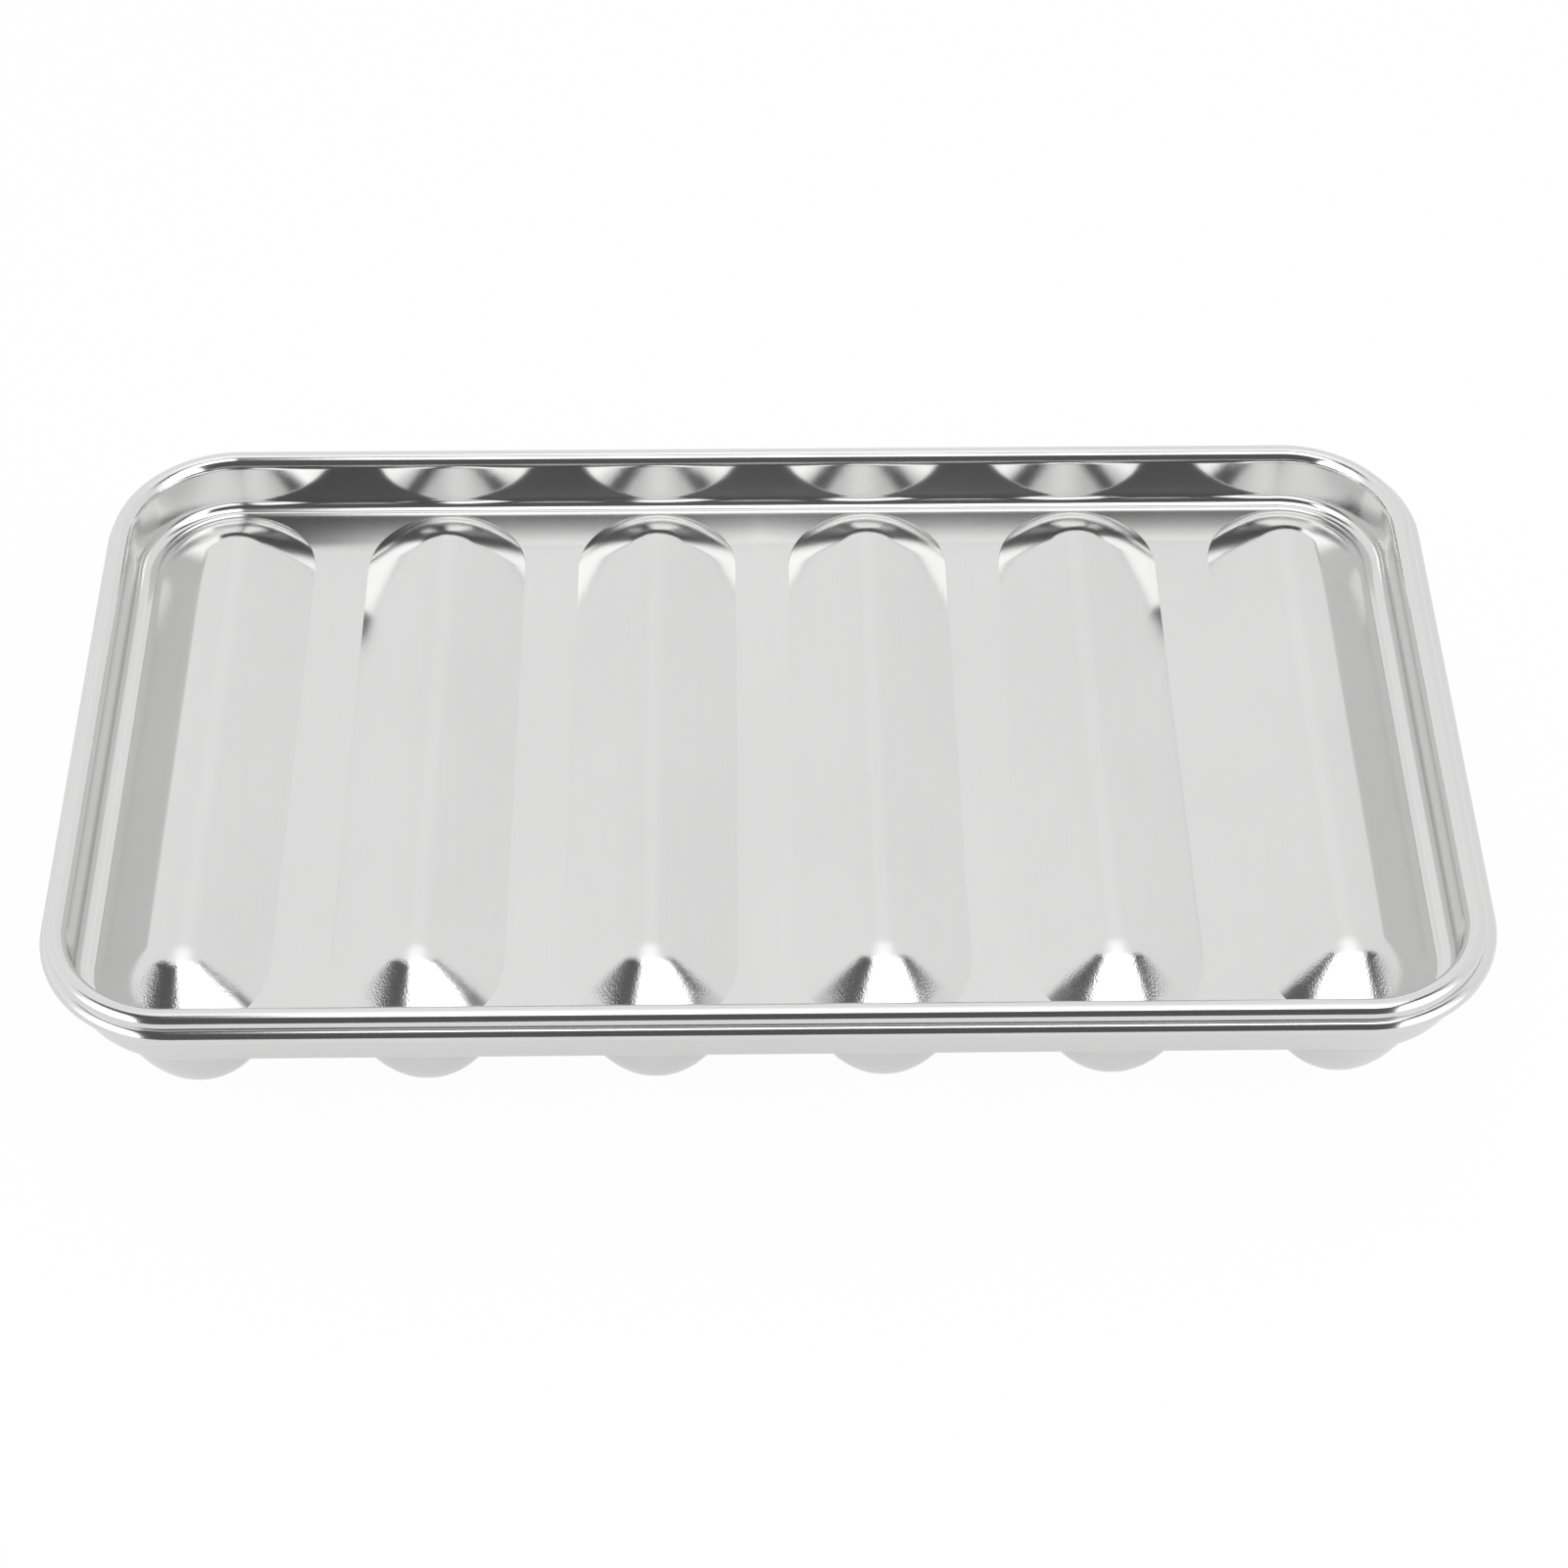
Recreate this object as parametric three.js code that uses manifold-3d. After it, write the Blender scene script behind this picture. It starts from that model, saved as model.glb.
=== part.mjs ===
// Sausage mould: two trays pressed from stainless-steel sheet, the upper one lying in the lower one.
// The ridges of the upper tray stand over the grooves of the lower tray and close them to long hollows.
// Millimetres, +Z up, +X along the longer side, grooves and ridges run along Y.
// The origin lies under the middle of the lower tray, at the height of the lowest point of its grooves.

import * as THREE from 'three';
import { mergeVertices } from 'three/addons/utils/BufferGeometryUtils.js';
import Module from 'manifold-3d';

const wasm = await Module();
wasm.setup();

// Sheet and rim
const sheet = 0.5; // thickness of the steel
const beadDiameter = 3.2; // outside of the rolled rim
const curlEndAngle = -110; // where the rolled edge stops, in degrees from the outward direction
const wallHeight = 9.6; // from the middle of the rolled rim down to the floor
const wallDraft = 7; // lean of the walls, in degrees
const footRadius = 1.4; // round between wall and floor, on the inside

// Grooves of the lower tray and ridges of the upper tray, which are equally wide and lie one over the other
const grooveCount = 6;
const grooveWidth = 27.68;
const grooveLength = 112;
const ridgeLength = 116.8;
const landWidth = 9.18; // flat land between two grooves
const sideLand = 0.88; // flat land between the outer ridges and the foot of the side walls
const endLand = 0.1; // flat land between the ridge ends and the foot of the end walls
const cornerEase = 0.25; // how much wider the corners are than the ridge ends that they go round
const grooveDepth = 23.5;
const bottomFlat = 2.2; // half width of the flat strip along the bottom of a groove
const ridgeLean = 30; // slope of the sides and ends of a ridge, in degrees from level
const crestRadius = 11; // round along the top of a ridge, on the outside

// How the upper tray lies in the lower one
const seatGap = 0.15; // between the two rolled rims at the front
const wallClearance = 0.33; // between the two front walls, square to them
const seatForward = 1.3; // how far the upper tray lies forward of the middle
const seatAside = 0.45; // how far the upper tray lies to the left of the middle

// Faceting of the round stretches
const cornerSteps = 6;
const beadSteps = 3; // for each quarter of the rolled rim
const footSteps = 3;
const grooveSteps = 8;
const crestSteps = 5;
const endSteps = 5;

// Sizes that follow from the ones above
const draft = THREE.MathUtils.degToRad(wallDraft);
const curlEnd = THREE.MathUtils.degToRad(curlEndAngle);
const beadRadius = beadDiameter / 2;
const floorOverlap = 2 * sheet; // how far the floor plate and the flange of the wall run into each other
const foot = wallFoot();
const grooveHalf = grooveWidth / 2;
const groovePitch = grooveWidth + landWidth;
const grooveEnd = grooveLength / 2 - grooveHalf; // centre of the round ends, from the middle of a groove
const ridgeEnd = ridgeLength / 2 - grooveHalf;
const lean = THREE.MathUtils.degToRad(ridgeLean);
const crestCentre = (grooveHalf - crestRadius / Math.sin(lean)) * Math.tan(lean); // above the floor
const edgeInset = foot.inset + sideLand;
const endInset = foot.inset + endLand;

// The upper tray is pushed forward until its front wall is one clearance from the lower tray's wall.
// The two rolled rims then lie one over the other there, at this angle from the vertical.
const rimSpan = beadDiameter + seatGap;
const seatAngle = Math.asin((sheet + wallClearance) / rimSpan) - draft;
const rimStep = seatForward + rimSpan * Math.sin(seatAngle);
const rimRise = rimSpan * Math.cos(seatAngle);

const upperPlan = {
  halfX: ((grooveCount - 1) * groovePitch + grooveWidth) / 2 + edgeInset,
  halfY: ridgeLength / 2 + endInset,
  corner: edgeInset + grooveHalf + cornerEase,
};
const lowerPlan = {
  halfX: upperPlan.halfX + rimStep,
  halfY: upperPlan.halfY + rimStep,
  corner: upperPlan.corner + rimStep,
};
const lowerRimHeight = wallHeight + grooveDepth + sheet;

// Where the inside of the wall runs out on the floor: the centre of its round, measured in from the rim.
function wallFoot() {
  const middleRadius = footRadius + sheet / 2;
  const height = footRadius - wallHeight;
  const beadMiddle = beadRadius - sheet / 2;
  const drop = height - beadMiddle * Math.sin(draft);
  const out = -beadRadius - beadMiddle * Math.cos(draft);
  const inset = -(out + (drop * Math.sin(draft) - middleRadius) / Math.cos(draft));
  return { inset, height, middleRadius };
}

// Turns a profile about Z and moves the quarters apart, so that circles become rounded rectangles.
// A profile point has a radius, a height and its spread, the distance that its circle is moved in X and Y.
// Radii are widened so that the straight sides lie where the profile says.
function spreadTurn(profile, stepsPerQuarter) {
  const segments = 4 * stepsPerQuarter;
  const halfStep = Math.PI / segments;
  const outline = profile.map((point) => new THREE.Vector2(point.radius / Math.cos(halfStep), point.height));
  const geometry = new THREE.LatheGeometry(outline, segments, halfStep);
  geometry.rotateX(Math.PI / 2);
  const position = geometry.getAttribute('position');
  for (let i = 0; i < position.count; i += 1) {
    const turn = halfStep + Math.floor(i / profile.length) * 2 * halfStep;
    const { spread } = profile[i % profile.length];
    const moveX = Math.sign(Math.sin(turn)) * spread.x;
    const moveY = -Math.sign(Math.cos(turn)) * spread.y;
    position.setXY(i, position.getX(i) + moveX, position.getY(i) + moveY);
  }
  return geometry;
}

// Makes a solid of a closed geometry, without the triangles that have shrunk to a line on the turning axis.
function solid(geometry) {
  geometry.deleteAttribute('normal');
  geometry.deleteAttribute('uv');
  const merged = mergeVertices(geometry);
  const index = merged.getIndex().array;
  const triangles = [];
  for (let i = 0; i < index.length; i += 3) {
    const [a, b, c] = index.slice(i, i + 3);
    if (a !== b && b !== c && c !== a) triangles.push(a, b, c);
  }
  const vertProperties = new Float32Array(merged.getAttribute('position').array);
  const mesh = new wasm.Mesh({ numProp: 3, vertProperties, triVerts: new Uint32Array(triangles) });
  return new wasm.Manifold(mesh);
}

// Points along an arc of a section, from one angle to another.
function arcPoints(centreX, centreY, radius, from, to, steps) {
  return new THREE.EllipseCurve(centreX, centreY, radius, radius, from, to, to < from).getPoints(steps);
}

// One face of the sheet, from the floor up the wall and round the rolled rim.
// It is measured out from the rim's edge.
// side is half a sheet towards the outside of the tray, or minus half a sheet towards its inside.
function sheetFace(side) {
  const flangeX = -foot.inset - footRadius - floorOverlap;
  const flangeEnd = new THREE.Vector2(flangeX, -wallHeight - sheet / 2 - side);
  const footRound = foot.middleRadius + side;
  const footArc = arcPoints(-foot.inset, foot.height, footRound, -Math.PI / 2, -draft, footSteps);
  const beadArc = (from, to) => arcPoints(-beadRadius, 0, beadRadius - sheet / 2 - side, from, to, beadSteps);
  return [
    flangeEnd,
    ...footArc,
    ...beadArc(Math.PI - draft, Math.PI / 2),
    ...beadArc(Math.PI / 2, 0).slice(1),
    ...beadArc(0, curlEnd).slice(1),
  ];
}

// The wall of a tray with its rolled rim and a flange of floor, all round.
function wallSolid(plan) {
  const spread = new THREE.Vector2(plan.halfX - plan.corner, plan.halfY - plan.corner);
  const section = [...sheetFace(sheet / 2), ...sheetFace(-sheet / 2).reverse()];
  const profile = section.map((point) => ({ radius: plan.corner + point.x, height: point.y, spread }));
  profile.push(profile[0]);
  return solid(spreadTurn(profile, cornerSteps));
}

// The flat floor, which overlaps the flange of the wall.
function floorSolid(plan) {
  const inset = foot.inset + footRadius;
  const x = plan.halfX - plan.corner;
  const y = plan.halfY - plan.corner;
  const radius = plan.corner - inset;
  const outline = new THREE.Shape();
  outline.absarc(x, y, radius, 0, Math.PI / 2);
  outline.absarc(-x, y, radius, Math.PI / 2, Math.PI);
  outline.absarc(-x, -y, radius, Math.PI, 1.5 * Math.PI);
  outline.absarc(x, -y, radius, 1.5 * Math.PI, 2 * Math.PI);
  const plate = new THREE.ExtrudeGeometry(outline, {
    depth: sheet, bevelEnabled: false, curveSegments: cornerSteps,
  });
  plate.translate(0, 0, -wallHeight - sheet);
  return solid(plate);
}

// Section of a groove, half an ellipse with a flat bottom.
// It is the groove's inside, or its outside where grow is the sheet.
// It ends above the floor for the inside, and within the sheet for the outside.
function grooveProfile(grow) {
  const spread = new THREE.Vector2(0, grooveEnd);
  const top = grow > 0 ? -wallHeight - sheet / 2 : -wallHeight + sheet;
  const bottom = -wallHeight - grooveDepth - grow;
  const flatAngle = Math.acos(bottomFlat / grooveHalf);
  const profile = [{ radius: 0, height: bottom, spread }];
  for (let i = 0; i <= grooveSteps; i += 1) {
    const angle = THREE.MathUtils.lerp(flatAngle, 0, i / grooveSteps);
    const slope = new THREE.Vector2(grooveDepth * Math.cos(angle), grooveHalf * Math.sin(angle)).normalize();
    const radius = grooveHalf * Math.cos(angle) + grow * slope.x;
    const height = -wallHeight - grooveDepth * Math.sin(angle) - grow * slope.y;
    profile.push({ radius, height: i === 0 ? bottom : Math.min(height, top), spread });
  }
  profile.push({ radius: profile[profile.length - 1].radius, height: top, spread });
  profile.push({ radius: 0, height: top, spread });
  return profile;
}

// Section of a ridge, straight sides under a round crest.
// It is the ridge's outside, or its hollow where shrink is the sheet.
// It starts within the sheet for the outside, and below the floor for the hollow.
function ridgeProfile(shrink) {
  const spread = new THREE.Vector2(0, ridgeEnd);
  const edge = grooveHalf - shrink * Math.tan(lean / 2);
  const bottom = shrink > 0 ? -wallHeight - 2 * sheet : -wallHeight - sheet / 2;
  const profile = [
    { radius: 0, height: bottom, spread },
    { radius: edge, height: bottom, spread },
    { radius: edge, height: -wallHeight - shrink, spread },
  ];
  for (let i = 0; i <= crestSteps; i += 1) {
    const angle = lean * (1 - i / crestSteps);
    const radius = (crestRadius - shrink) * Math.sin(angle);
    const height = crestCentre - wallHeight + (crestRadius - shrink) * Math.cos(angle);
    profile.push({ radius, height, spread });
  }
  return profile;
}

// A long round-ended body with this section, along Y.
function pressedSolid(profile, centreX) {
  const geometry = spreadTurn(profile, endSteps);
  geometry.translate(centreX, 0, 0);
  return solid(geometry);
}

// A whole tray, with the middle of its rolled rim at height 0.
// Its sheet lies between the outer and the inner section of its grooves or ridges.
function trayGeometry(plan, outer, inner) {
  let tray = wallSolid(plan).add(floorSolid(plan));
  const centres = [];
  for (let i = 0; i < grooveCount; i += 1) {
    centres.push((i - (grooveCount - 1) / 2) * groovePitch);
  }
  for (const centreX of centres) {
    tray = tray.add(pressedSolid(outer, centreX));
  }
  for (const centreX of centres) {
    tray = tray.subtract(pressedSolid(inner, centreX));
  }
  const mesh = tray.getMesh();
  const geometry = new THREE.BufferGeometry();
  geometry.setAttribute('position', new THREE.BufferAttribute(mesh.vertProperties, 3));
  geometry.setIndex(new THREE.BufferAttribute(mesh.triVerts, 1));
  geometry.computeVertexNormals();
  return geometry;
}

// Names and places a tray, with its own polished steel.
function trayMesh(name, geometry, position) {
  const steel = new THREE.MeshStandardMaterial({ color: 0xd6d6d6, roughness: 0.2, metalness: 1 });
  const mesh = new THREE.Mesh(geometry, steel);
  mesh.name = name;
  mesh.position.copy(position);
  return mesh;
}

const lowerTray = trayGeometry(lowerPlan, grooveProfile(sheet), grooveProfile(0));
const upperTray = trayGeometry(upperPlan, ridgeProfile(0), ridgeProfile(sheet));
const lowerPlace = new THREE.Vector3(0, 0, lowerRimHeight);
const upperPlace = new THREE.Vector3(-seatAside, -seatForward, lowerRimHeight + rimRise);

const mould = new THREE.Group();
mould.add(trayMesh('lower_tray', lowerTray, lowerPlace));
mould.add(trayMesh('upper_tray', upperTray, upperPlace));

export default mould;
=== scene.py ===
"""Sausage mould: a pressed-steel tray with six grooves and a loose tray with six ridges that lies in it."""

import logging
import math
from dataclasses import dataclass, field
from enum import Enum
from typing import Any

import bmesh
import bpy
from mathutils import Matrix, Vector


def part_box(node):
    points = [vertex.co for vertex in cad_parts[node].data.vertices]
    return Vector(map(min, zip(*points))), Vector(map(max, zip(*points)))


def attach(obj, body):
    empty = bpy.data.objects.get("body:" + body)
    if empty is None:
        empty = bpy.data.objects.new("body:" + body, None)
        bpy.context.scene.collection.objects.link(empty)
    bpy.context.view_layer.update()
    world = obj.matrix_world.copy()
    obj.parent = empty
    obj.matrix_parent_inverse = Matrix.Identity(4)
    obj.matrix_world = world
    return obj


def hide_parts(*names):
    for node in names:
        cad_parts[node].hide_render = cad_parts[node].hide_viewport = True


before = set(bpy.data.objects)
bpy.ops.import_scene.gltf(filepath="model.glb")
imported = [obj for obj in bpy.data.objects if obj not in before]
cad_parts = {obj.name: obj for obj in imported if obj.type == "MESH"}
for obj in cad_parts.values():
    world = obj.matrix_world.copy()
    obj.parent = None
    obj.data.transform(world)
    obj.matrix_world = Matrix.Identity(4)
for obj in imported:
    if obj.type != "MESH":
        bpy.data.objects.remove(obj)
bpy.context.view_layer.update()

log = logging.getLogger("sausage_mould")

MM = 0.001
QUARTER_TURN = math.radians(90.0)
HALF_TURN = math.radians(180.0)
NOISE_MIDDLE = 0.5
WHITE = (1.0, 1.0, 1.0, 1.0)

Span = tuple[float, float]


class Signal:
    """A node's output socket that takes part in Python arithmetic."""

    def __init__(self, graph: "NodeGraph", socket: bpy.types.NodeSocket | None) -> None:
        """Keeps the graph that new nodes go into and the socket."""
        self.graph = graph
        self.socket = socket

    def _math(self, operation: str, first: "Signal | float", second: "Signal | float") -> "Signal":
        """Adds a Math node.

        Args:
            operation: The Math node's operation.
            first: A signal or a number.
            second: A signal or a number.

        Returns:
            The node's output.
        """
        return self.graph.node("ShaderNodeMath", {"operation": operation}, {0: first, 1: second})

    def __add__(self, other: "Signal | float") -> "Signal":
        """Sum."""
        return self._math("ADD", self, other)

    def __radd__(self, other: float) -> "Signal":
        """Sum with a number on the left."""
        return self._math("ADD", other, self)

    def __sub__(self, other: "Signal | float") -> "Signal":
        """Difference."""
        return self._math("SUBTRACT", self, other)

    def __rsub__(self, other: float) -> "Signal":
        """Difference with a number on the left."""
        return self._math("SUBTRACT", other, self)

    def __mul__(self, other: "Signal | float") -> "Signal":
        """Product."""
        return self._math("MULTIPLY", self, other)

    def __rmul__(self, other: float) -> "Signal":
        """Product with a number on the left."""
        return self._math("MULTIPLY", other, self)

    def __abs__(self) -> "Signal":
        """Size without the sign."""
        return self._math("ABSOLUTE", self, 0.0)

    def over(self, other: "Signal | float") -> "Signal":
        """The larger of two values."""
        return self._math("MAXIMUM", self, other)

    def ease(self, low: float, high: float) -> "Signal":
        """Smooth step from 0 at low to 1 at high.

        Args:
            low: The value that gives 0.
            high: The value that gives 1.

        Returns:
            The eased value.
        """
        settings = {"interpolation_type": "SMOOTHSTEP"}
        return self.graph.node("ShaderNodeMapRange", settings, {0: self, 1: low, 2: high})


class NodeGraph:
    """Adds and links the nodes of one material or world."""

    def __init__(self, tree: bpy.types.NodeTree) -> None:
        """Takes over a tree and clears it."""
        self.tree = tree
        tree.nodes.clear()

    def node(self, kind: str, settings: dict[str, Any] | None = None,
             inputs: dict[str | int, Any] | None = None, output: str | int = 0) -> Signal:
        """Adds a node.

        Args:
            kind: The node's type.
            settings: Properties that are set first.
            inputs: Values or signals, by the name or number of their socket.
            output: The name or number of the output that is wanted.

        Returns:
            The wanted output.
        """
        made = self.tree.nodes.new(kind)
        for name, value in (settings or {}).items():
            setattr(made, name, value)
        for key, value in (inputs or {}).items():
            socket = made.inputs[key]
            if isinstance(value, Signal):
                self.tree.links.new(value.socket, socket)
            else:
                socket.default_value = value
        return Signal(self, made.outputs[output] if len(made.outputs) else None)

    def split(self, vector: Signal) -> tuple[Signal, Signal, Signal]:
        """Splits a vector.

        Args:
            vector: The vector to split.

        Returns:
            Its X, Y and Z.
        """
        parts = self.node("ShaderNodeSeparateXYZ", None, {0: vector})
        outputs = parts.socket.node.outputs
        return Signal(self, outputs[0]), Signal(self, outputs[1]), Signal(self, outputs[2])


def new_material(name: str) -> tuple[bpy.types.Material, NodeGraph]:
    """Starts a material.

    Args:
        name: Its name.

    Returns:
        The material and its empty graph.
    """
    made = bpy.data.materials.new(name)
    made.use_nodes = True
    return made, NodeGraph(made.node_tree)


@dataclass(frozen=True)
class SteelFinish:
    """Polished stainless sheet with a fine rolled grain and soft clouds of wear.

    Where the sheet is drawn most, at the ends of its forms and round its rim, its skin is pebbled.
    """

    name: str = "stainless_steel"
    reflectance: float = 0.70
    blue_share: float = 0.997
    roughness: float = 0.13
    grain_per_metre: float = 5200.0
    grain_stretch: float = 0.012
    grain_detail: float = 3.0
    grain_height: float = 0.0012 * MM
    grain_tone: float = 0.03
    grain_roughness: float = 0.03
    cloud_per_metre: float = 26.0
    cloud_detail: float = 4.0
    cloud_tone: float = 0.05
    cloud_roughness: float = 0.04
    pebble_per_metre: float = 3400.0
    pebble_detail: float = 2.0
    pebble_height: float = 0.018 * MM
    rim_pebble: float = 0.2
    drawn_fade: float = 4.0 * MM
    reach_fade: float = 1.0 * MM
    formed: Span = (0.8 * MM, 2.0 * MM)
    rim: Span = (-1.2 * MM, -0.2 * MM)

    def material(self, middle: Vector, drawn_from: float, reach: Span,
                 floor_height: float) -> bpy.types.Material:
        """Builds the material of one tray.

        Args:
            middle: The tray's middle, at the height of the middle of its rolled rim.
            drawn_from: How far from the middle, along Y, the strongly drawn ends begin.
            reach: How far from the middle the pressed forms reach, along X and Y.
            floor_height: Height of the flat floor, which is not drawn.

        Returns:
            The material.
        """
        made, graph = new_material(self.name)
        place = graph.node("ShaderNodeTexCoord", output="Object")
        x, y, z = graph.split(place)
        stretch = (1.0, self.grain_stretch, 1.0)
        stretched = graph.node("ShaderNodeMapping", None, {"Vector": place, "Scale": stretch})
        grain = self._noise(graph, stretched, self.grain_per_metre, self.grain_detail)
        pebble = self._noise(graph, place, self.pebble_per_metre, self.pebble_detail)
        cloud = self._noise(graph, place, self.cloud_per_metre, self.cloud_detail)
        across, along = abs(x - middle.x), abs(y - middle.y)
        inside = 1.0 - across.ease(reach[0] - self.reach_fade, reach[0])
        inside = inside * (1.0 - along.ease(reach[1] - self.reach_fade, reach[1]))
        ends = along.ease(drawn_from, drawn_from + self.drawn_fade) * inside
        formed = abs(z - floor_height).ease(*self.formed)
        rim = (z - middle.z).ease(*self.rim)
        drawn = (ends * formed).over(rim * self.rim_pebble)
        height = grain * self.grain_height + pebble * drawn * self.pebble_height
        bump = graph.node("ShaderNodeBump", None, {"Strength": 1.0, "Distance": 1.0, "Height": height})
        wear, lines = cloud - NOISE_MIDDLE, grain - NOISE_MIDDLE
        tone = wear * self.cloud_tone + lines * self.grain_tone + self.reflectance
        colour = graph.node("ShaderNodeCombineColor", None, {0: tone, 1: tone, 2: tone * self.blue_share})
        rough = wear * self.cloud_roughness + lines * self.grain_roughness + self.roughness
        shader = graph.node("ShaderNodeBsdfPrincipled", None, {
            "Base Color": colour, "Metallic": 1.0, "Roughness": rough, "Normal": bump})
        graph.node("ShaderNodeOutputMaterial", None, {"Surface": shader})
        return made

    def _noise(self, graph: NodeGraph, place: Signal, per_metre: float, detail: float) -> Signal:
        """Adds a noise pattern.

        Args:
            graph: The material's nodes.
            place: The coordinates that the pattern lies on.
            per_metre: How fine it is.
            detail: How many finer layers it has.

        Returns:
            The pattern's strength.
        """
        inputs = {"Vector": place, "Scale": per_metre, "Detail": detail}
        return graph.node("ShaderNodeTexNoise", None, inputs)


class SectionPen:
    """Draws a section of sheet as a chain of edges in the plane of X and Z."""

    def __init__(self, mesh: bmesh.types.BMesh, start: Vector) -> None:
        """Starts the chain with one vertex.

        Args:
            mesh: The mesh that the chain grows in.
            start: Where it starts.
        """
        self.mesh = mesh
        self.tip = bmesh.ops.create_vert(mesh, co=start)["vert"][0]
        self.edges: list[bmesh.types.BMEdge] = []

    def turn(self, centre: Vector, degrees: float, steps: int) -> "SectionPen":
        """Carries the tip round an arc.

        Args:
            centre: Centre of the arc.
            degrees: Angle about Y, by the right-hand rule.
            steps: Number of edges.

        Returns:
            The pen.
        """
        spun = bmesh.ops.spin(self.mesh, geom=[self.tip], cent=centre, axis=(0, 1, 0),
                              angle=math.radians(degrees), steps=steps)
        return self._follow(spun["geom_last"])

    def run(self, move: Vector) -> "SectionPen":
        """Carries the tip along a straight line.

        Args:
            move: How far the tip goes.

        Returns:
            The pen.
        """
        grown = bmesh.ops.extrude_vert_indiv(self.mesh, verts=[self.tip])
        bmesh.ops.translate(self.mesh, verts=grown["verts"], vec=move)
        return self._follow(grown["verts"])

    def _follow(self, geometry: list[Any]) -> "SectionPen":
        """Takes the newest vertex as the tip and notes the chain's edges.

        Args:
            geometry: What the last operator left at the end of the chain.

        Returns:
            The pen.
        """
        self.tip = [item for item in geometry if isinstance(item, bmesh.types.BMVert)][0]
        linked: set[bmesh.types.BMEdge] = set()
        front = [self.tip]
        while front:
            fresh = [edge for vertex in front for edge in vertex.link_edges if edge not in linked]
            linked.update(fresh)
            front = [vertex for edge in fresh for vertex in edge.verts]
        self.edges = list(linked)
        return self


class Pressing(Enum):
    """Which way the long forms of a tray are pressed."""

    GROOVE = "groove"
    RIDGE = "ridge"


@dataclass(frozen=True)
class WallShape:
    """A wall's two arcs, by how far each end leans outwards from upright, and the round of its foot.

    A flare radius below zero is for a wall that leans more towards its foot.
    """

    top: float
    middle: float
    low: float
    flare_radius: float
    foot_radius: float

    def low_radius(self, height: float, bead_radius: float) -> float:
        """Radius of the lower arc, so that the wall ends at the floor.

        Args:
            height: Height of the bead's middle above the floor.
            bead_radius: Radius of the bead that the wall hangs from.

        Returns:
            The radius.
        """
        leans = (self.top, self.middle, self.low)
        top, middle, low = (math.sin(math.radians(angle)) for angle in leans)
        bend = bead_radius * top - self.flare_radius * (top - middle)
        return (bend + height - self.foot_radius * (1.0 - low)) / (middle - low)


@dataclass(frozen=True)
class SheetSizes:
    """Sizes that both trays share, in metres and degrees."""

    sheet: float = 0.5 * MM
    bead_radius: float = 1.6 * MM
    curl_end: float = -110.0
    wall_height: float = 9.6 * MM
    half_width: float = 13.84 * MM
    pitch: float = 36.86 * MM
    forms_per_half: int = 3


def leaning(degrees: float, length: float) -> Vector:
    """A vector in the plane of X and Z that leans from +Z towards +X.

    Args:
        degrees: How far it leans.
        length: Its length.

    Returns:
        The vector.
    """
    angle = math.radians(degrees)
    return Vector((length * math.sin(angle), 0.0, length * math.cos(angle)))


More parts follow.
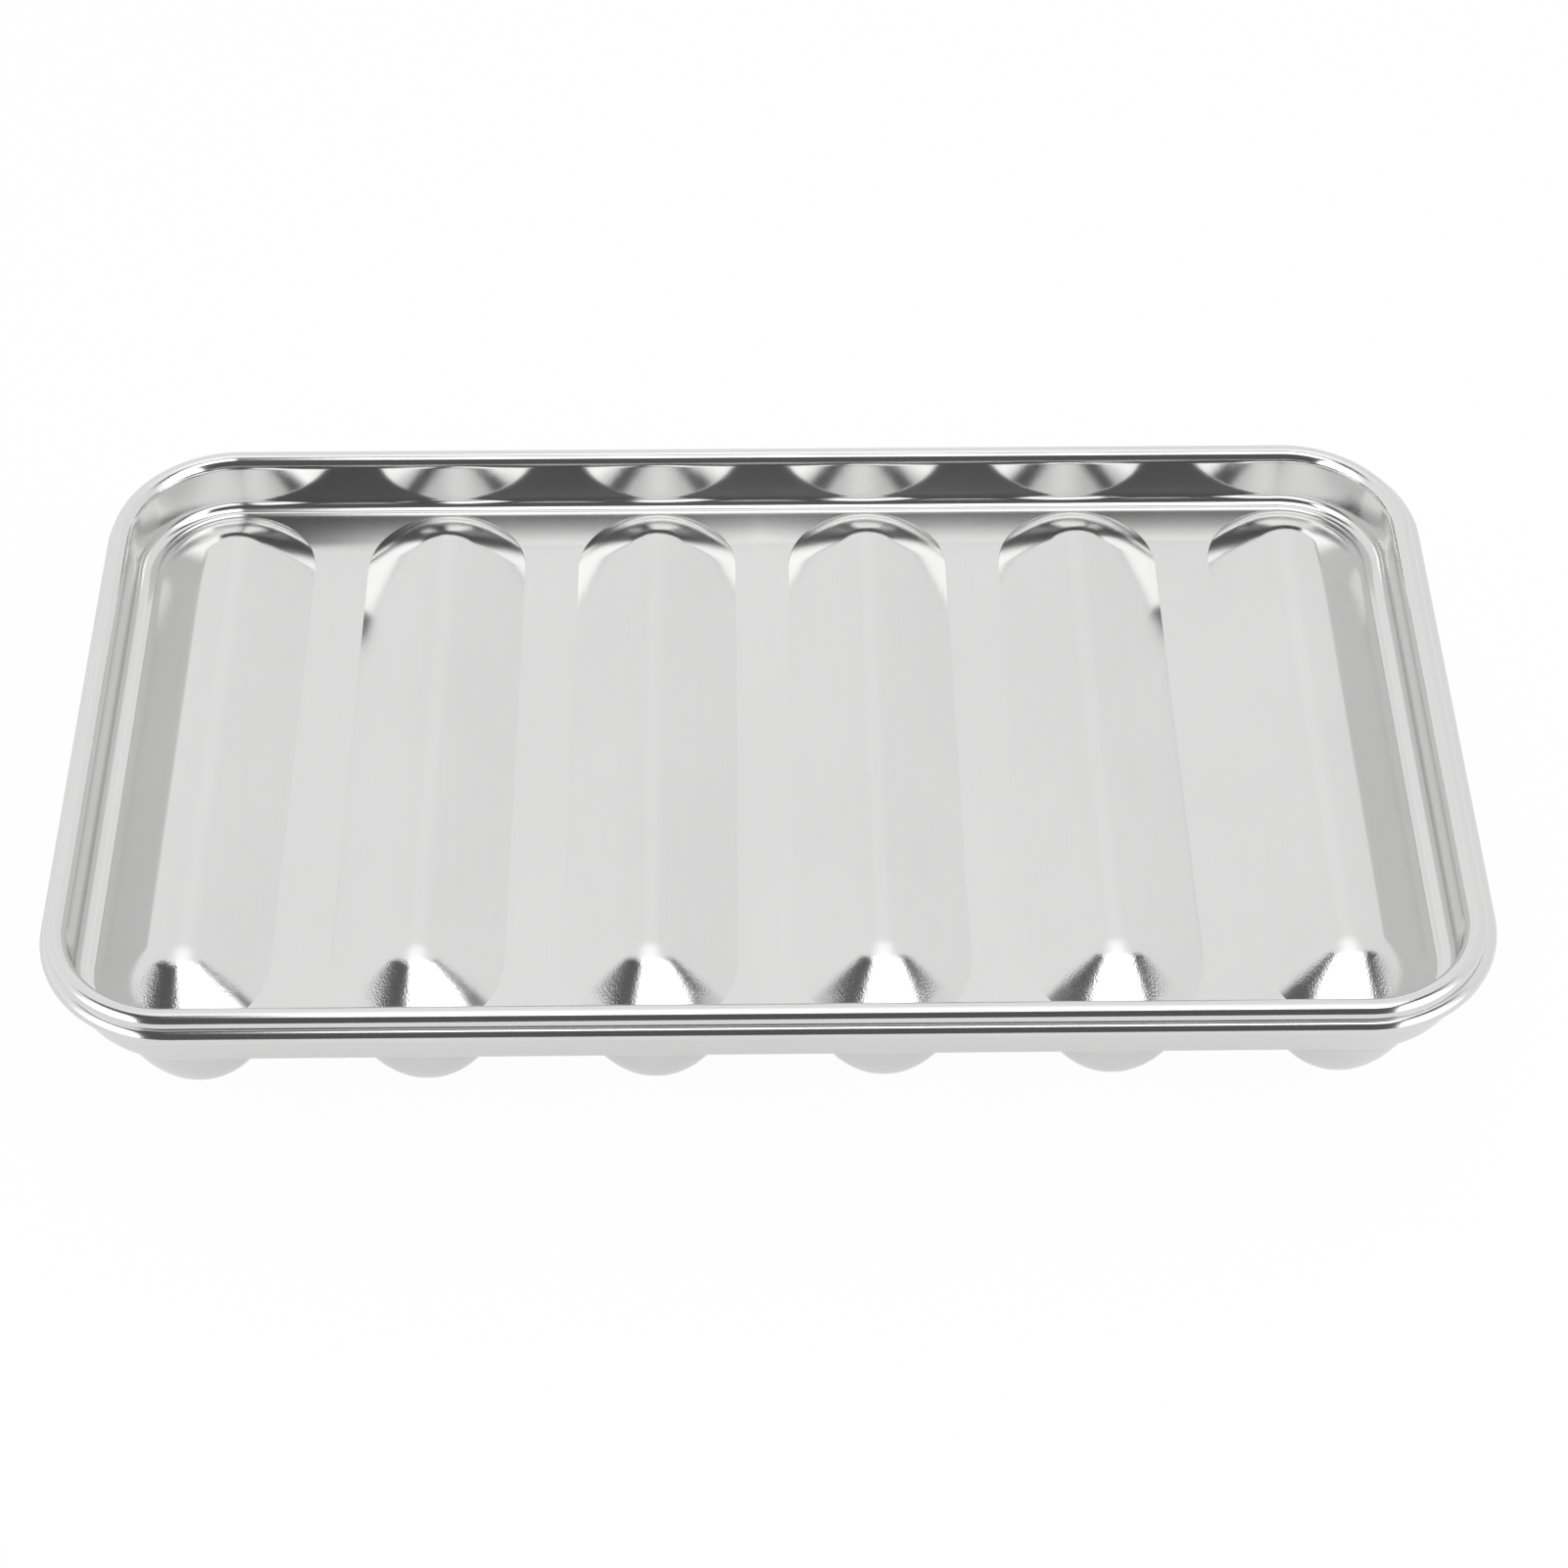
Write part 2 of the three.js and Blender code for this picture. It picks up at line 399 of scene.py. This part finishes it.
@dataclass
class Tray:
    """One tray of sheet steel with a rolled rim, a flat floor, and long round-ended forms pressed into it."""

    node: str
    body: str
    pressing: Pressing
    corner: float
    half_length: float
    wall: WallShape
    sizes: SheetSizes
    groove_depth: float = 23.5 * MM
    groove_flat: float = 2.2 * MM
    groove_edge: float = 0.6 * MM
    lean_top: float = 27.4
    lean_low: float = 32.0
    crest_radius: float = 11.0 * MM
    crease_radius: float = 0.25 * MM
    crease_reach: float = 0.03 * MM
    corner_steps: int = 32
    bead_steps: int = 36
    wall_steps: int = 10
    foot_steps: int = 12
    end_steps: int = 48
    crease_steps: int = 5
    side_steps: int = 6
    crest_steps: int = 10
    edge_steps: int = 5
    bowl_steps: int = 18
    merge_distance: float = 0.002 * MM
    level_slack: float = 0.001 * MM
    level_normal: float = 0.999
    normal_weight: int = 100
    middle: Vector = field(init=False)
    half_x: float = field(init=False)
    half_y: float = field(init=False)
    end_centre: float = field(init=False)

    def __post_init__(self) -> None:
        """Reads the tray's place and reach from the frame."""
        low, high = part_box(self.node)
        rim_height = high.z - self.sizes.bead_radius
        self.middle = Vector(((low.x + high.x) / 2, (low.y + high.y) / 2, rim_height))
        self.half_x = (high.x - low.x) / 2
        self.half_y = (high.y - low.y) / 2
        self.end_centre = self.half_length - self.sizes.half_width

    def build(self, finish: SteelFinish) -> bpy.types.Object:
        """Makes the tray and puts it in place of its CAD node.

        Args:
            finish: The steel.

        Returns:
            The finished piece.
        """
        mesh = bmesh.new()
        self._add_wall(mesh)
        for index in range(self.sizes.forms_per_half):
            self._add_form(mesh, (index + 0.5) * self.sizes.pitch)
        bmesh.ops.remove_doubles(mesh, verts=mesh.verts, dist=self.merge_distance)
        self._add_floor(mesh)
        for axis in ("X", "Y"):
            bmesh.ops.mirror(mesh, geom=mesh.verts[:] + mesh.edges[:] + mesh.faces[:],
                             matrix=Matrix.Identity(4), merge_dist=self.merge_distance, axis=axis)
        bmesh.ops.remove_doubles(mesh, verts=mesh.verts, dist=self.merge_distance)
        self._face_up(mesh)
        bmesh.ops.translate(mesh, verts=mesh.verts, vec=self.middle)
        return self._dress(mesh, finish)

    def _add_wall(self, mesh: bmesh.types.BMesh) -> None:
        """Adds a quarter of the rolled rim and wall: one corner and half of the two sides beside it.

        Args:
            mesh: The mesh that grows.
        """
        s, w = self.sizes, self.wall
        bead = Vector((self.half_x - s.bead_radius, self.half_y - self.corner, 0.0))
        pen = SectionPen(mesh, bead + leaning(90.0 - s.curl_end, s.bead_radius))
        pen.turn(bead, s.curl_end + w.top - 180.0, self.bead_steps)
        flare_centre = pen.tip.co + leaning(90.0 + w.top, w.flare_radius)
        pen.turn(flare_centre, w.middle - w.top, self.wall_steps)
        low_centre = pen.tip.co + leaning(90.0 + w.middle, w.low_radius(s.wall_height, s.bead_radius))
        pen.turn(low_centre, w.low - w.middle, self.wall_steps)
        foot_centre = pen.tip.co + leaning(w.low - 90.0, w.foot_radius)
        pen.turn(foot_centre, 90.0 - w.low, self.foot_steps)
        axis = Vector((self.half_x - self.corner, self.half_y - self.corner, 0.0))
        last = self._sweep(mesh, pen.edges, axis, QUARTER_TURN, self.corner_steps)
        self._extend(mesh, pen.edges, Vector((0.0, -axis.y, 0.0)))
        self._extend(mesh, last, Vector((-axis.x, 0.0, 0.0)))

    def _add_form(self, mesh: bmesh.types.BMesh, centre_x: float) -> None:
        """Adds half of one groove or ridge: its round end and half of its straight stretch.

        Args:
            mesh: The mesh that grows.
            centre_x: Middle of the form along X.
        """
        if self.pressing is Pressing.RIDGE:
            pen = self._ridge_section(mesh, centre_x)
        else:
            pen = self._groove_section(mesh, centre_x)
        axis = Vector((centre_x, self.end_centre, 0.0))
        last = self._sweep(mesh, pen.edges, axis, HALF_TURN, self.end_steps)
        back = Vector((0.0, -self.end_centre, 0.0))
        self._extend(mesh, pen.edges, back)
        self._extend(mesh, last, back)

    def _ridge_section(self, mesh: bmesh.types.BMesh, centre_x: float) -> SectionPen:
        """Draws half the section of a ridge, from the floor up its side to the middle of its crest.

        Args:
            mesh: The mesh that grows.
            centre_x: Middle of the ridge along X.

        Returns:
            The pen, at the crest.
        """
        s = self.sizes
        foot = Vector((centre_x + s.half_width + self.crease_reach, self.end_centre, -s.wall_height))
        pen = SectionPen(mesh, foot)
        pen.turn(foot + leaning(0.0, self.crease_radius), self.lean_low, self.crease_steps)
        bend = math.sin(math.radians(self.lean_low)) - math.sin(math.radians(self.lean_top))
        top_reach = leaning(self.lean_top, self.crest_radius).x
        side_radius = (pen.tip.co.x - centre_x - top_reach) / bend
        side_centre = pen.tip.co - leaning(self.lean_low, side_radius)
        pen.turn(side_centre, self.lean_top - self.lean_low, self.side_steps)
        crest_centre = pen.tip.co - leaning(self.lean_top, self.crest_radius)
        pen.turn(crest_centre, -self.lean_top, self.crest_steps)
        return pen

    def _groove_section(self, mesh: bmesh.types.BMesh, centre_x: float) -> SectionPen:
        """Draws half the section of a groove, from the floor over its edge to the middle of its bottom.

        Args:
            mesh: The mesh that grows.
            centre_x: Middle of the groove along X.

        Returns:
            The pen, at the bottom.
        """
        s = self.sizes
        edge = Vector((centre_x + s.half_width + self.groove_edge, self.end_centre, -s.wall_height))
        pen = SectionPen(mesh, edge)
        pen.turn(edge - Vector((0.0, 0.0, self.groove_edge)), -90.0, self.edge_steps)
        last = math.acos(self.groove_flat / s.half_width)
        depth = (self.groove_depth - self.groove_edge) / math.sin(last)
        for step in range(self.bowl_steps):
            before, after = (last * part / self.bowl_steps for part in (step, step + 1))
            inwards = s.half_width * (math.cos(after) - math.cos(before))
            down = depth * (math.sin(after) - math.sin(before))
            pen.run(Vector((inwards, 0.0, -down)))
        pen.run(Vector((-self.groove_flat, 0.0, 0.0)))
        return pen

    def _sweep(self, mesh: bmesh.types.BMesh, edges: list[bmesh.types.BMEdge], axis: Vector,
               angle: float, steps: int) -> list[bmesh.types.BMEdge]:
        """Sweeps a section round an upright axis.

        Args:
            mesh: The mesh that grows.
            edges: The section's edges.
            axis: Where the axis stands.
            angle: How far the section goes round.
            steps: Number of steps.

        Returns:
            The section's edges at the end of the sweep.
        """
        spun = bmesh.ops.spin(mesh, geom=edges, cent=axis, axis=(0, 0, 1), angle=angle, steps=steps)
        return [item for item in spun["geom_last"] if isinstance(item, bmesh.types.BMEdge)]

    def _extend(self, mesh: bmesh.types.BMesh, edges: list[bmesh.types.BMEdge], move: Vector) -> None:
        """Draws edges out into a straight stretch.

        Args:
            mesh: The mesh that grows.
            edges: The edges to draw out.
            move: How far they go.
        """
        grown = bmesh.ops.extrude_edge_only(mesh, edges=edges)
        ends = [item for item in grown["geom"] if isinstance(item, bmesh.types.BMVert)]
        bmesh.ops.translate(mesh, verts=ends, vec=move)

    def _add_floor(self, mesh: bmesh.types.BMesh) -> None:
        """Fills the flat floor of the quarter between the foot of the wall and the outlines of the forms.

        Args:
            mesh: The mesh that grows.
        """
        near = self.level_slack
        level = -self.sizes.wall_height
        middle = bmesh.ops.create_vert(mesh, co=(0.0, 0.0, level))["vert"][0]
        flat = [vertex for vertex in mesh.verts if abs(vertex.co.z - level) < near]
        across = [vertex for vertex in flat if abs(vertex.co.y) < near]
        across.sort(key=lambda vertex: vertex.co.x)
        along = [vertex for vertex in flat if abs(vertex.co.x) < near]
        furthest = max(along, key=lambda vertex: vertex.co.y)
        pairs = [(across[i], across[i + 1]) for i in range(0, len(across), 2)] + [(middle, furthest)]
        rim = [mesh.edges.new(pair) for pair in pairs]
        rim += [edge for edge in mesh.edges if edge.is_boundary
                and all(abs(vertex.co.z - level) < near for vertex in edge.verts)]
        bmesh.ops.triangle_fill(mesh, edges=rim, use_beauty=True, normal=(0, 0, 1))

    def _face_up(self, mesh: bmesh.types.BMesh) -> None:
        """Turns all faces so that the floor faces up.

        Args:
            mesh: The mesh whose faces turn.
        """
        bmesh.ops.recalc_face_normals(mesh, faces=mesh.faces)
        level = [face for face in mesh.faces if abs(face.normal.z) > self.level_normal]
        largest = max(level, key=lambda face: face.calc_area())
        if largest.normal.z < 0:
            bmesh.ops.reverse_faces(mesh, faces=mesh.faces)

    def _dress(self, mesh: bmesh.types.BMesh, finish: SteelFinish) -> bpy.types.Object:
        """Turns the sheet's upper face into a finished piece.

        Args:
            mesh: The upper face of the sheet.
            finish: The steel.

        Returns:
            The finished piece.
        """
        s = self.sizes
        data = bpy.data.meshes.new(self.node + "_sheet")
        mesh.to_mesh(data)
        mesh.free()
        data.shade_smooth()
        piece = bpy.data.objects.new(self.node + "_sheet", data)
        bpy.context.scene.collection.objects.link(piece)
        reach = ((s.forms_per_half - 0.5) * s.pitch + s.half_width, self.half_length)
        floor_height = self.middle.z - s.wall_height
        data.materials.append(finish.material(self.middle, self.end_centre, reach, floor_height))
        thickness = piece.modifiers.new("sheet_thickness", "SOLIDIFY")
        thickness.thickness = s.sheet
        thickness.offset = -1.0
        smooth = piece.modifiers.new("flat_lands", "WEIGHTED_NORMAL")
        smooth.weight = self.normal_weight
        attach(piece, self.body)
        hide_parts(self.node)
        log.info("%s: %d faces", piece.name, len(data.polygons))
        return piece


@dataclass
class Viewpoint:
    """The camera, at the photograph's viewing angle."""

    subject: Vector
    aside: float = -2.89 * MM
    forward: float = -382.60 * MM
    above: float = 406.79 * MM
    down: float = 47.920
    turn: float = -0.924
    roll: float = 0.244
    lens: float = 77.84
    sensor: float = 36.0
    nearest: float = 10.0 * MM

    def build(self) -> bpy.types.Object:
        """Makes the camera and makes it the scene's own.

        Returns:
            The camera.
        """
        data = bpy.data.cameras.new("viewpoint")
        data.lens = self.lens
        data.sensor_width = self.sensor
        data.clip_start = self.nearest
        camera = bpy.data.objects.new("viewpoint", data)
        bpy.context.scene.collection.objects.link(camera)
        place = self.subject + Vector((self.aside, self.forward, self.above))
        camera.matrix_world = (
            Matrix.Translation(place)
            @ Matrix.Rotation(math.radians(self.turn), 4, "Z")
            @ Matrix.Rotation(math.radians(90.0 - self.down), 4, "X")
            @ Matrix.Rotation(math.radians(self.roll), 4, "Z")
        )
        bpy.context.scene.camera = camera
        log.info("camera: lens %.1f mm", self.lens)
        return camera


@dataclass
class Studio:
    """A white tent round the object, brighter at its front corners, a soft lamp overhead and a pale floor.

    The tent is open at the front and has a dark gap on either side of the lamp. It is laid out by direction,
    with X to the right, Y to the back and Z up. A span is where an edge of it begins and ends.
    """

    rim_height: float
    tent: float = 0.985
    back_fall: float = 0.03
    side_fall: float = 0.05
    dark: float = 0.11
    behind: Span = (0.04, 0.16)
    beside: Span = (0.635, 0.685)
    beside_slant: float = 0.45
    slant_from: float = -0.45
    top_share: float = 0.18
    top_width: Span = (0.2, 0.5)
    zenith: float = 0.36
    zenith_height: Span = (0.80, 0.98)
    zenith_width: Span = (0.05, 0.40)
    streak: float = 0.035
    streak_width: Span = (0.05, 0.25)
    corner: float = 0.95
    corner_depth: Span = (-0.45, -0.10)
    lamp: float = 2.3
    lamp_height: float = 0.48
    lamp_left: float = -0.17
    lamp_right: float = 0.33
    lamp_front: float = -0.42
    lamp_back: float = 0.0
    lamp_edge: float = 0.05
    lamp_fade: float = 0.10
    floor_front: float = -0.26
    floor_back: float = 1.1
    floor_half: float = 0.9
    floor_tone: float = 0.9
    floor_glow: float = 0.97
    floor_mirrored: float = 0.55

    def build(self) -> None:
        """Makes the world, the lamp and the floor."""
        bpy.context.scene.view_settings.view_transform = "Standard"
        self._world()
        self._lamp()
        self._floor()

    def _world(self) -> None:
        """Lights the object by direction, and shows white to the camera."""
        world = bpy.data.worlds.new("studio")
        world.use_nodes = True
        bpy.context.scene.world = world
        graph = NodeGraph(world.node_tree)
        x, y, z = graph.split(graph.node("ShaderNodeTexCoord", output="Generated"))
        aside = abs(x)
        top = (1.0 - aside.ease(*self.top_width)) * self.top_share
        behind = (y + top).ease(*self.behind)
        beside = (aside - y.over(self.slant_from) * self.beside_slant).ease(*self.beside)
        streak = (1.0 - aside.ease(*self.streak_width)) * self.streak
        overhead = z.ease(*self.zenith_height) * (1.0 - aside.ease(*self.zenith_width)) * self.zenith
        corner = (1.0 - y.ease(*self.corner_depth)) * self.corner
        back = behind * (self.tent + streak + overhead - x * self.back_fall)
        side = beside * (self.tent + corner - x * self.side_fall)
        light = back.over(side).over(self.dark)
        camera = graph.node("ShaderNodeLightPath", output="Is Camera Ray")
        shown = light + camera * (1.0 - light)
        glow = graph.node("ShaderNodeBackground", None, {"Color": WHITE, "Strength": shown})
        graph.node("ShaderNodeOutputWorld", None, {"Surface": glow})

    def _lamp(self) -> None:
        """Hangs a soft lamp above the object, with edges that fade out, and hides it from the camera."""
        corners = ((self.lamp_left, self.lamp_front), (self.lamp_right, self.lamp_back))
        lamp = self._sheet("overhead_lamp", corners, self.rim_height + self.lamp_height)
        made, graph = new_material("lamp_cloth")
        x, y, _ = graph.split(graph.node("ShaderNodeTexCoord", output="Object"))
        left = x.ease(self.lamp_left, self.lamp_left + self.lamp_edge)
        right = 1.0 - x.ease(self.lamp_right - self.lamp_edge, self.lamp_right)
        front = y.ease(self.lamp_front, self.lamp_front + self.lamp_fade)
        back = 1.0 - y.ease(self.lamp_back - self.lamp_fade, self.lamp_back)
        clear = graph.node("ShaderNodeBsdfTransparent")
        cloth = graph.node("ShaderNodeEmission", None, {"Color": WHITE, "Strength": self.lamp})
        mixed = graph.node("ShaderNodeMixShader", None, {0: left * right * front * back, 1: clear, 2: cloth})
        graph.node("ShaderNodeOutputMaterial", None, {"Surface": mixed})
        lamp.data.materials.append(made)
        lamp.visible_camera = False

    def _floor(self) -> None:
        """Lays the pale floor, which keeps the object's shadow."""
        corners = ((-self.floor_half, self.floor_front), (self.floor_half, self.floor_back))
        floor = self._sheet("floor", corners, 0.0)
        made, graph = new_material("pale_floor")
        pale = (self.floor_tone, self.floor_tone, self.floor_tone, 1.0)
        matt = graph.node("ShaderNodeBsdfDiffuse", None, {"Color": pale})
        white = graph.node("ShaderNodeEmission", None, {"Color": WHITE, "Strength": 1.0})
        camera = graph.node("ShaderNodeLightPath", output="Is Camera Ray")
        glossy = graph.node("ShaderNodeLightPath", output="Is Glossy Ray")
        share = (camera * self.floor_glow).over(glossy * self.floor_mirrored)
        mixed = graph.node("ShaderNodeMixShader", None, {0: share, 1: matt, 2: white})
        graph.node("ShaderNodeOutputMaterial", None, {"Surface": mixed})
        floor.data.materials.append(made)

    def _sheet(self, name: str, corners: tuple[Span, Span], height: float) -> bpy.types.Object:
        """Makes a level rectangle of the stage.

        Args:
            name: Its name.
            corners: Its two opposite corners.
            height: Its height.

        Returns:
            The rectangle.
        """
        (left, front), (right, back) = corners
        centre = Vector(((left + right) / 2, (front + back) / 2, height))
        mesh = bmesh.new()
        bmesh.ops.create_grid(mesh, x_segments=1, y_segments=1, size=0.5)
        bmesh.ops.scale(mesh, verts=mesh.verts, vec=(right - left, back - front, 1.0))
        bmesh.ops.translate(mesh, verts=mesh.verts, vec=centre)
        data = bpy.data.meshes.new(name)
        mesh.to_mesh(data)
        mesh.free()
        made = bpy.data.objects.new(name, data)
        bpy.context.scene.collection.objects.link(made)
        log.info("%s laid out", name)
        return made


def main() -> None:
    """Builds the camera, the two trays and the studio."""
    logging.basicConfig(level=logging.INFO)
    sizes = SheetSizes()
    steel = SteelFinish()
    lower_wall = WallShape(top=1.0, middle=2.0, low=19.5, flare_radius=-200.0 * MM, foot_radius=1.4 * MM)
    upper_wall = WallShape(top=38.0, middle=3.0, low=0.3, flare_radius=2.69 * MM, foot_radius=2.0 * MM)
    lower = Tray("lower_tray", "lower_tray", Pressing.GROOVE, corner=22.33 * MM, half_length=56.0 * MM,
                 wall=lower_wall, sizes=sizes)
    upper = Tray("upper_tray", "upper_tray", Pressing.RIDGE, corner=20.60 * MM, half_length=58.4 * MM,
                 wall=upper_wall, sizes=sizes)
    Viewpoint(upper.middle).build()
    for tray in (lower, upper):
        tray.build(steel)
    Studio(upper.middle.z).build()


if __name__ == "__main__":
    main()
